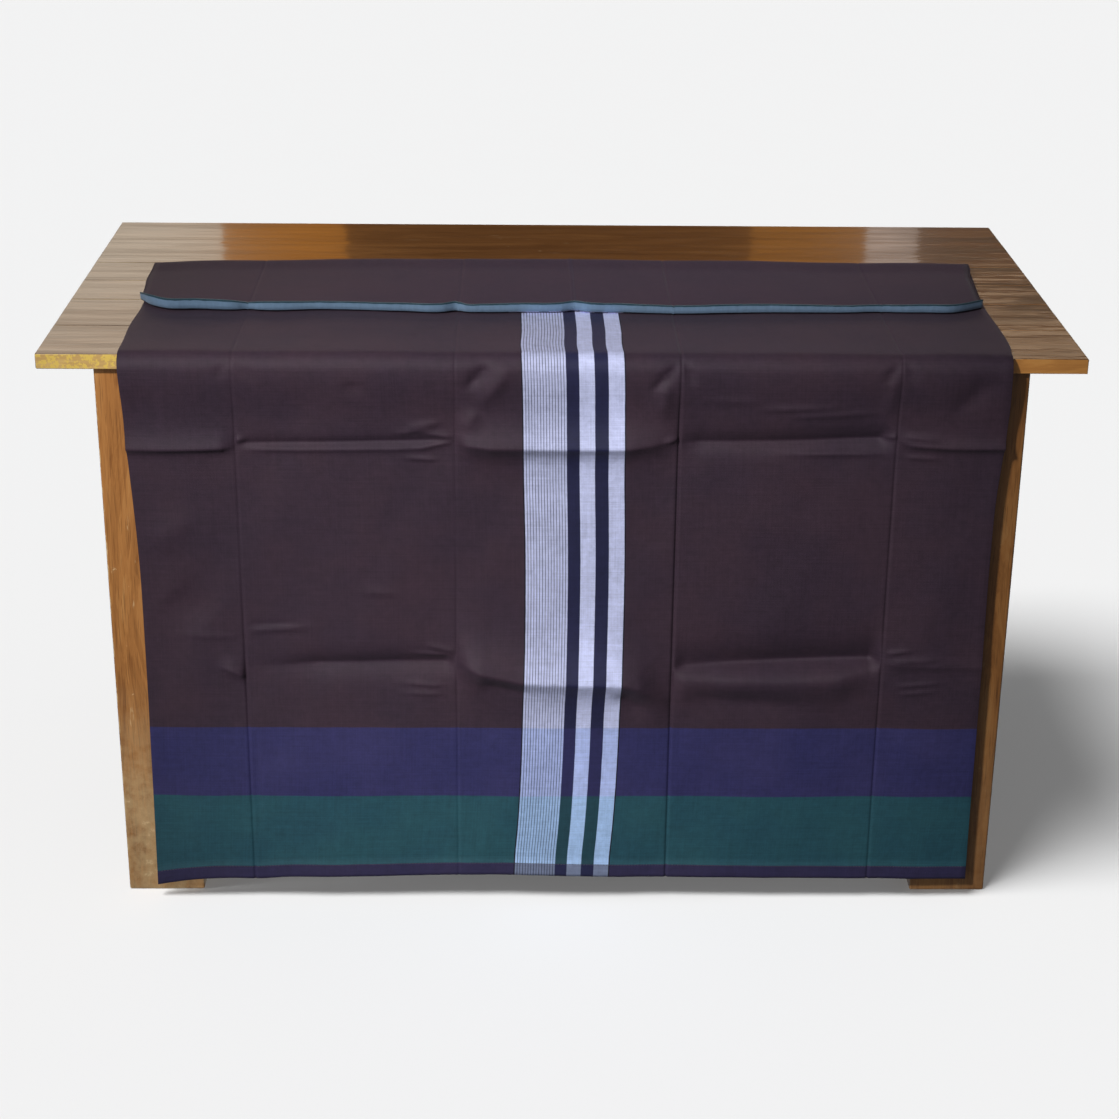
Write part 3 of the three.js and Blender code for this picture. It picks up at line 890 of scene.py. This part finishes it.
def selvage_material(name, head):
    """The waist edge: teal yarns packed close, with a painted highlight along its pale middle; towards both
    sides it is darker teal, partly the yarn's own colour and partly painted shade.
    """
    n = Nodes(name)
    place, across, along = cloth_place(n)
    v = n.shaken(along, n.noise(n.stretch(place, (120, 600, 1)), 1.0, 3.0), 0.0014)
    # Painted highlight: the pale middle band stands in for light on the curled edge; the darker teal on
    # both sides is partly painted shade
    color = n.mix(n.between(v, *EDGE_HIGHLIGHT_BAND, 0.0005), TEAL_DARK, TEAL_PAINTED_HIGHLIGHT)
    if head:
        ends = n.total(0.0, *((n.between(across, low, high, 0.0006), 1.0) for low, high in STRIPE_ENDS))
        under = n.between(v, -0.01, EDGE_HIGHLIGHT_BAND[0], 0.0003)
        color = n.mix(n.times(under, ends), color, WHITES[-1])
    streaks = n.noise(n.stretch(place, (40, 2500, 1)), 1.0, 3.0, 0.6)
    slubs = n.noise(n.stretch(place, (220, 60, 1)), 1.0, 4.0, 0.6)
    color = n.tint(color, n.gray(n.total(0.5, (streaks, 0.5), (slubs, 0.5))))
    ribs = n.math("SINE", n.times(along, 2 * math.pi / EDGE_RIB))
    n.set(Base_Color=color, Normal=n.bump(n.total(ribs, (slubs, 1.5)), 0.5, 0.0003))
    n.set(Roughness=0.75, Sheen_Weight=0.2, Sheen_Roughness=0.4, Specular_IOR_Level=0.3)
    return n.material


def thread_material():
    n = Nodes("sewing_thread")
    place = n.new("ShaderNodeTexCoord").outputs["Object"]
    twist = n.noise(place, 1800.0, 2.0)
    n.set(Base_Color=n.mix(twist, srgb(40, 31, 42), srgb(78, 66, 80)), Roughness=0.7)
    n.set(Normal=n.bump(twist, 0.5, 0.0002), Sheen_Weight=0.2)
    return n.material


# Wood
WOOD = {
    "top": {"dark": srgb(66, 38, 20), "mid": srgb(100, 64, 34), "light": srgb(140, 96, 52)},
    "frame": {"dark": srgb(140, 86, 40), "mid": srgb(190, 128, 68), "light": srgb(214, 160, 98)},
    "edge": {"dark": srgb(158, 98, 44), "mid": srgb(212, 146, 74), "light": srgb(234, 176, 98)},
    "paler_at_left": {"dark": srgb(162, 116, 64), "mid": srgb(220, 180, 110), "light": srgb(244, 216, 146)},
}
GOLD = srgb(236, 200, 98)
WORN = srgb(232, 200, 150)


def wood_ramp(n, tone, shades, low, high):
    return n.ramp(tone, [(low, shades["dark"]), (0.5, shades["mid"]), (high, shades["light"])])


def top_colors(n, place, offset, tone, color):
    """The table top's colour, with its stains and its front edge, and where the stains are."""
    x, y, _ = n.split(place)

    # Dark dull stains where the varnish has gone, at the right end behind the front corner
    blots = n.step(n.noise(n.stretch(place, (5, 15, 15), offset), 1.3, 4.0, 0.65), 0.50, 0.08)
    stain = n.times(n.times(blots, n.step(x, 0.50, 0.12)), n.step(y, -0.15, 0.06))
    color = n.mix(n.times(stain, 0.7), color, tuple(0.3 * v for v in WOOD["top"]["dark"]))

    # The front edge was never stained as dark as the top. Towards the left it is paler, with golden specks.
    front = n.new("ShaderNodeAttribute", attribute_name="front_side").outputs["Fac"]
    bare = wood_ramp(n, tone, WOOD["edge"], 0.2, 0.8)
    gold_specks = n.step(n.noise(place, 210.0, 3.0, 0.6), 0.52, 0.05)
    paler_at_left = n.mix(gold_specks, wood_ramp(n, tone, WOOD["paler_at_left"], 0.2, 0.8), GOLD)
    at_left = n.less(1.0, n.step(x, -0.30, 0.20))
    return n.mix(front, color, n.mix(at_left, bare, paler_at_left)), stain


def wood_material(name, kind, grain_axis, seed, wear, darker=1.0, coat=1.0, ripple=0.25):
    """Varnished wood with its grain along x or z. seed moves the figure to another place."""
    n = Nodes(name)
    place = n.new("ShaderNodeTexCoord").outputs["Object"]
    offset = (seed * 3.17, seed * 1.91, seed * 2.33)

    def grain(along, across, *settings):
        """Noise drawn out along the grain."""
        scale = (along, across, across) if grain_axis == "x" else (across, across, along)
        return n.noise(n.stretch(place, scale, offset), *settings)

    figure = grain(1, 9, 3.2, 5.0, 0.6, 1.4)
    fibres = grain(6, 160, 1.6, 4.0, 0.7)
    pores = grain(15, 400, 1.5, 2.0, 0.5)
    rings = n.math("ABSOLUTE", n.less(n.math("FRACT", n.times(figure, 9.0)), 0.5))
    tone = n.total(-0.095, (figure, 0.72), (fibres, 0.30), (rings, 0.16))
    shades = WOOD[kind]
    color = wood_ramp(n, tone, shades, 0.28, 0.78)
    pore_dark = n.times(n.step(pores, 0.60, 0.05), 0.35)
    color = n.mix(pore_dark, color, tuple(0.35 * v for v in shades["dark"]))
    if kind == "top":
        color, stain = top_colors(n, place, offset, tone, color)
        coat = n.times(n.total(1.0, (stain, -0.8)), coat)
    color = n.tint(color, (darker, darker, darker))

    # Wear: pale where the varnish has rubbed off, on edges, near the floor and in scratches
    edge = n.new("ShaderNodeAttribute", attribute_name="edge_wear").outputs["Fac"]
    spots = n.noise(n.stretch(place, (30, 30, 30), offset), 1.6, 5.0, 0.7)
    worn = n.total(spots, (edge, 0.20))
    if grain_axis == "z":
        near_floor = n.less(1.0, n.step(n.split(place)[2], 0.20, 0.12))
        worn = n.total(worn, (near_floor, 0.08))
        haze = n.times(n.times(near_floor, n.step(spots, 0.40, 0.25)), 0.72 * wear)
        color = n.mix(haze, color, WORN)
    scratches = n.step(grain(9, 70, 1.2, 4.0, 0.65), 0.70, 0.025)
    rubbed = n.math("MAXIMUM", n.step(worn, 0.71, 0.03), n.times(scratches, 0.8))
    color = n.mix(n.times(rubbed, wear), color, WORN)

    # The varnish is wavy, and thin in places.
    waviness = grain(5, 34, 1.2, 3.0, 0.6)
    thin = grain(2.5, 40, 1.3, 4.0, 0.65)
    coating = n.times(n.total(0.55, (n.step(thin, 0.48, 0.14), 0.45)), coat)
    height = n.total(0.0, (fibres, 0.35), (waviness, ripple * 4))
    roughness = n.total(0.34, (rubbed, 0.35 * wear))
    n.set(Base_Color=color, Roughness=roughness, Normal=n.bump(height, 0.30, 0.0012))
    n.set(Coat_Weight=coating, Coat_Normal=n.bump(waviness, ripple, 0.004))
    n.set(Coat_Roughness=0.07, Coat_IOR=1.5, Specular_IOR_Level=0.35)
    return n.material


# The wood's rounded edges, the spacing of its cuts and the depth of its chips, in metres
EDGE_ROUNDING = {"board": 0.0008, "frame": 0.002}
ROUNDING_STEPS = np.array([0, 0.3, 1, 1.25])
CUTS = 0.06
CHIPS = 0.0005
CHIP_WAVES = np.array([23.0, 31.0, 27.0])


def plank(node, name, bevel, seed):
    """A board with eased, slightly uneven edges in the space of its CAD node."""
    low, high = [np.array(corner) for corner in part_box(node)]
    size = high - low
    counts = [max(1, round(size[k] / CUTS)) for k in range(3)]
    lines = []
    for k in range(3):
        inner = np.linspace(low[k] + 2 * bevel, high[k] - 2 * bevel, counts[k] + 1)
        rounding = bevel * ROUNDING_STEPS
        lines.append(np.concatenate([low[k] + rounding, inner, high[k] - rounding[::-1]]))
    vertices, faces, index = [], [], {}

    def vertex(point):
        key = tuple(round(v, 7) for v in point)
        if key not in index:
            index[key] = len(vertices)
            vertices.append(point)
        return index[key]

    for axis in range(3):
        u, v = [(1, 2), (2, 0), (0, 1)][axis]
        for side, level in ((-1, low[axis]), (1, high[axis])):
            for i in range(len(lines[u]) - 1):
                for j in range(len(lines[v]) - 1):
                    corners = []
                    for a, b in ((i, j), (i + 1, j), (i + 1, j + 1), (i, j + 1)):
                        point = [0.0, 0.0, 0.0]
                        point[axis], point[u], point[v] = level, lines[u][a], lines[v][b]
                        corners.append(vertex(tuple(point)))
                    faces.append(corners if side > 0 else corners[::-1])
    points = np.array(vertices)
    vertices_y = points[:, 1]
    core = np.clip(points, low + bevel, high - bevel)
    out = points - core
    distance = np.linalg.norm(out, axis=1)
    reach = np.abs(out).max(1)
    corner = distance > reach * 1.001
    points = core + out / np.maximum(distance, 1e-9)[:, None] * reach[:, None]
    phase = seed * 1.7 + points @ CHIP_WAVES
    chipped = np.clip(np.sin(3.1 * phase) * np.sin(7.3 * phase + seed), 0, 1)
    chips = np.where(corner, chipped * CHIPS, 0)
    middle = (low + high) / 2
    inward = np.sign(middle - points)
    points = points + inward * chips[:, None] * (np.abs(out) > 1e-6)
    made = new_object(name, points, faces)
    facing = np.abs(vertices_y - low[1]) < 1e-6
    for key, values in (("edge_wear", corner), ("front_side", facing)):
        layer = made.data.attributes.new(key, "FLOAT", "POINT")
        layer.data.foreach_set("value", values.astype(np.float32))
    return made


# Wear, darkening, varnish and ripple of the table's woods
TOP_LOOK = {"wear": 0.35, "ripple": 0.22}
FRAME_LOOK = {"wear": 0.9, "darker": 1.0, "coat": 0.6, "ripple": 0.3}
RIGHT_LEG_LOOK = {"wear": 0.12, "darker": 0.54, "coat": 0.6, "ripple": 0.3}


def add_table():
    boards, legs, aprons = (
        sorted(node for node in frame["nodes"] if node.startswith(start))
        for start in ("table_board", "table_leg", "table_apron")
    )
    for seed, node in enumerate(boards + legs + aprons):
        is_board = node in boards
        rounding = EDGE_ROUNDING["board" if is_board else "frame"]
        piece = plank(node, node.replace("table_", "wood_"), rounding, seed)
        if is_board:
            material = wood_material(f"wood_top_{seed}", "top", "x", seed, **TOP_LOOK)
        else:
            grain_axis = "z" if node in legs else "x"
            look = RIGHT_LEG_LOOK if "right" in node else FRAME_LOOK
            material = wood_material(f"wood_frame_{seed}", "frame", grain_axis, seed, **look)
        piece.data.materials.append(material)
        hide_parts(node)
        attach(piece, "root")


# Sewing
def outer_face(row):
    """How far the outer face is from the line between the layers, and the row without its hem turn."""
    extra = HEM_TURN["extra"] if row.get("hem") else 0
    return LAYER_FACE + extra, {**row, "hem": False}


def sewn_piece(name, vertices, faces, material, uv=None):
    piece = new_object(name, vertices, faces, uv)
    piece.data.materials.append(material)
    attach(piece, "root")
    return piece


def stitches(name, row, xs, sign, material):
    """A row of stitches along x on the outer face of the front layer, sign 1, or the back one, -1."""
    face, plain = outer_face(row)
    steps = np.linspace(-0.5, 0.5, 5)
    flat = np.full(5, face * sign)
    rise = STITCH["height"] * (1 - (2 * steps) ** 2) + STITCH["sunk"]
    vertices, faces = [], []
    for x in xs:
        line = x + steps * STITCH["length"]
        base = cloth_points(plain, line, flat)
        top = cloth_points(plain, line, flat + sign * rise)
        out = top - base
        out /= np.linalg.norm(out, axis=1)[:, None]
        ahead = np.gradient(base, axis=0)
        ahead /= np.linalg.norm(ahead, axis=1)[:, None]
        beside = np.cross(ahead, out) * (STITCH["width"] / 2 * MM)
        start = len(vertices)
        for k in range(5):
            narrow = 1 - 0.5 * abs(2 * steps[k]) ** 3
            vertices += [base[k] - beside[k] * narrow, top[k], base[k] + beside[k] * narrow]
        for k in range(4):
            a = start + 3 * k
            faces += [[a, a + 1, a + 4, a + 3], [a + 1, a + 2, a + 5, a + 4], [a + 2, a, a + 3, a + 5]]
        faces += [[start, start + 2, start + 1], [start + 12, start + 13, start + 14]]
    return sewn_piece(name, vertices, faces, material)


def closing_seam(material):
    """The tube's closing seam: a narrow felled strip up the middle of the back layer."""
    around = len(SEAM_ACROSS)
    vertices, uv, faces = [], [], []
    along = 0
    before = None
    for row in CLOTH_ROWS:
        face, plain = outer_face(row)
        x = SEAM["x"] + SEAM["sway"] * math.sin(row["s"] / SEAM["sway_length"]) + SEAM_ACROSS
        points = cloth_points(plain, x, -(face + SEAM_RISE))
        if before is not None:
            along += float(np.linalg.norm(points[2] - before))
        before = points[2]
        vertices.extend(points)
        uv.extend([(v * MM, along) for v in x])
    for r in range(len(CLOTH_ROWS) - 1):
        for k in range(around):
            a = around * r + k
            b = around * r + (k + 1) % around
            faces.append([a, a + around, b + around, b])
    faces.append(list(range(around)))
    faces.append([len(vertices) - 1 - k for k in range(around)])
    return sewn_piece("closing_seam", vertices, faces, material, uv)


def add_sarong():
    front_material = cloth_material("handloom_front", True)
    back_material = cloth_material("handloom_back", False)
    thread = thread_material()
    front = cloth_wall("sarong_front_cloth", "front", CLOTH_ROWS, COLUMN_STEP)
    back = cloth_wall("sarong_back_cloth", "back", CLOTH_ROWS, COLUMN_STEP)
    front_edge = cloth_wall("sarong_front_waist_edge", "front", WAIST_ROWS, WAIST_COLUMN_STEP)
    back_edge = cloth_wall("sarong_back_waist_edge", "back", WAIST_ROWS, WAIST_COLUMN_STEP)
    for piece, node, material, slot in (
        (front, "sarong_front", front_material, "cloth"),
        (back, "sarong_back", back_material, "cloth"),
        (front_edge, "waist_edge_front", selvage_material("selvage_front", True), "selvage"),
        (back_edge, "waist_edge_back", selvage_material("selvage_back", False), "selvage"),
    ):
        piece.data.materials.append(material)
        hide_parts(node)
        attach(piece, "root")

    seam = closing_seam(back_material)
    hem_row = drop_row(HEM_TOP - STITCH_LINE["below_turn"])
    left, right = panel_edges(HEM_TOP)[[0, -1]]
    xs = np.arange(left + STITCH_LINE["from_side"], right - STITCH_LINE["from_side"], STITCH["pitch"])
    front_stitches = stitches("hem_stitches_front", hem_row, xs, 1, thread)
    back_stitches = stitches("hem_stitches_back", hem_row, xs, -1, thread)


# Stage, light and camera
FLOOR_SIZE = 400
FLOOR_COLOR = (0.80, 0.80, 0.80)


def stage_piece(name, corners):
    piece = new_object(name, corners, [[0, 1, 2, 3]])
    return piece


def add_floor():
    half = FLOOR_SIZE / 2
    floor = stage_piece("floor", [(-half, -half, 0), (half, -half, 0), (half, half, 0), (-half, half, 0)])
    n = Nodes("pale_floor")
    n.set(Base_Color=FLOOR_COLOR, Roughness=0.9, Specular_IOR_Level=0.0)
    floor.data.materials.append(n.material)
    floor.visible_glossy = False
    floor.visible_diffuse = False
    return floor


# Panels behind the table that show only in the varnish
REFLECTOR_Y = 3.0
REFLECTORS = table(
    "x0 x1 z0 z1 color",
    (-2.6, -0.83, 0.72, 2.6, (1.14, 0.95, 0.74)),
    (-0.83, -0.51, 0.72, 2.6, (0.68, 0.25, 0.033)),
    (-0.51, 0.55, 0.72, 2.6, (0.14, 0.055, 0.014)),
    (0.55, 0.85, 0.72, 2.6, (0.46, 0.18, 0.03)),
    (0.85, 0.985, 0.72, 2.6, (0.86, 0.70, 0.60)),
    (0.985, 2.6, 0.72, 1.60, (0.13, 0.06, 0.03)),
    (0.985, 2.6, 1.60, 2.6, (0.82, 0.57, 0.36)),
)


def add_reflectors():
    for k, row in enumerate(REFLECTORS):
        x0, x1, z0, z1 = (row[key] for key in ("x0", "x1", "z0", "z1"))
        corners = [(x, REFLECTOR_Y, z) for x, z in ((x0, z0), (x1, z0), (x1, z1), (x0, z1))]
        panel = stage_piece(f"reflector_{k}", corners)
        n = Nodes(f"reflector_{k}")
        n.set(Base_Color=(0, 0, 0), Roughness=1.0, Specular_IOR_Level=0.0)
        n.set(Emission_Color=row["color"], Emission_Strength=1.0)
        panel.data.materials.append(n.material)
        for key in ("visible_camera", "visible_diffuse", "visible_shadow", "visible_transmission"):
            setattr(panel, key, False)


# Soft lights. Those for the floor and for the object are kept apart, so that the floor stays even.
# soft is a sun's angle in degrees, a spot's radius or an area light's width. cone is in degrees.
WHITE = (1, 1, 1)
LIGHTS = table(
    "name kind lit power soft at aim color cone",
    ("floor_key", "SUN", "floor", 3.0, 26, (0, 0, 0), (0.42, 0.27, -1.0), WHITE, 0),
    ("floor_fill", "SUN", "floor", 0.45, 5, (0, 0, 0), (0, 0, -1), WHITE, 0),
    ("key", "SPOT", "object", 488, 0.16, (-1.56, -2.715, 2.706), (-0.05, -0.32, 0.60), WHITE, 27),
    ("low", "SPOT", "object", 26, 0.2, (-1.1, -1.7, 0.30), (-0.24, -0.32, 0.05), WHITE, 33),
    ("window", "AREA", "wood", 46, 1.6, (0.9, 2.4, 2.0), (0.1, 0.0, 0.72), (0.50, 0.66, 1.0), 0),
    ("haze", "AREA", "cloth", 5, 2.2, (0.1, 2.7, 1.75), (0.0, 0.0, 0.74), (0.62, 0.50, 1.0), 0),
    ("fill", "AREA", "object", 9, 2.4, (-1.4, -2.6, 0.75), (-0.3, -0.3, 0.2), WHITE, 0),
)
WORLD = {"color": (0.96, 0.98, 1.0), "strength": 0.12}


def add_lights(floor):
    world = bpy.data.worlds.new("studio")
    bpy.context.scene.world = world
    world.use_nodes = True
    background = world.node_tree.nodes["Background"]
    background.inputs["Color"].default_value = (*WORLD["color"], 1)
    background.inputs["Strength"].default_value = WORLD["strength"]

    lit = {key: bpy.data.collections.new("lit_" + key) for key in ("floor", "object", "cloth", "wood")}
    lit["floor"].objects.link(floor)
    for piece in bpy.context.scene.objects:
        if piece.type == "MESH" and piece is not floor and not piece.name.startswith("reflector"):
            lit["object"].objects.link(piece)
            lit["cloth" if piece.name.startswith("sarong_") else "wood"].objects.link(piece)
    for row in LIGHTS:
        data = bpy.data.lights.new(row["name"], row["kind"])
        data.energy = row["power"]
        data.color = row["color"]
        lamp = bpy.data.objects.new(row["name"], data)
        lamp.location = row["at"]
        if row["kind"] == "SUN":
            data.angle = math.radians(row["soft"])
        elif row["kind"] == "SPOT":
            data.shadow_soft_size = row["soft"]
            data.spot_size = math.radians(row["cone"])
            data.spot_blend = 1.0
        else:
            data.shape = "DISK"
            data.size = row["soft"]
            # Of these, the one for the cloth alone adds only gloss, and the others add none.
            lamp.visible_glossy = row["lit"] == "cloth"
            lamp.visible_diffuse = row["lit"] != "cloth"
        if row["name"] == "floor_fill":
            data.use_shadow = False
        toward = Vector(row["aim"]) - Vector(row["at"])
        lamp.rotation_euler = toward.to_track_quat("-Z", "Y").to_euler()
        lamp.light_linking.receiver_collection = lit[row["lit"]]
        bpy.context.scene.collection.objects.link(lamp)


# The camera stands where the photograph was taken, worked out from the table's corners.
CAMERA = {"x": -0.0475, "y": -2.8365, "z": 1.5039, "yaw": 0.01779, "pitch": 0.39131, "roll": 0.01053}
LENS = 73.37
SENSOR_WIDTH = 36


def add_camera():
    yaw, pitch, roll = CAMERA["yaw"], CAMERA["pitch"], CAMERA["roll"]
    ahead = Vector((math.sin(yaw) * math.cos(pitch), math.cos(yaw) * math.cos(pitch), -math.sin(pitch)))
    right = Vector((math.cos(yaw), -math.sin(yaw), 0))
    up = right.cross(ahead)
    right, up = (
        math.cos(roll) * right + math.sin(roll) * up,
        math.cos(roll) * up - math.sin(roll) * right,
    )
    data = bpy.data.cameras.new("camera")
    data.lens = LENS
    data.sensor_width = SENSOR_WIDTH
    camera = bpy.data.objects.new("camera", data)
    turn = Matrix((right, up, -ahead)).transposed().to_4x4()
    place = Vector((CAMERA["x"], CAMERA["y"] + MIDDLE_Y * MM, CAMERA["z"]))
    camera.matrix_world = Matrix.Translation(place) @ turn
    bpy.context.scene.collection.objects.link(camera)
    bpy.context.scene.camera = camera


add_camera()
add_sarong()
add_table()
floor = add_floor()
add_reflectors()
add_lights(floor)
bpy.context.scene.view_settings.view_transform = "Standard"
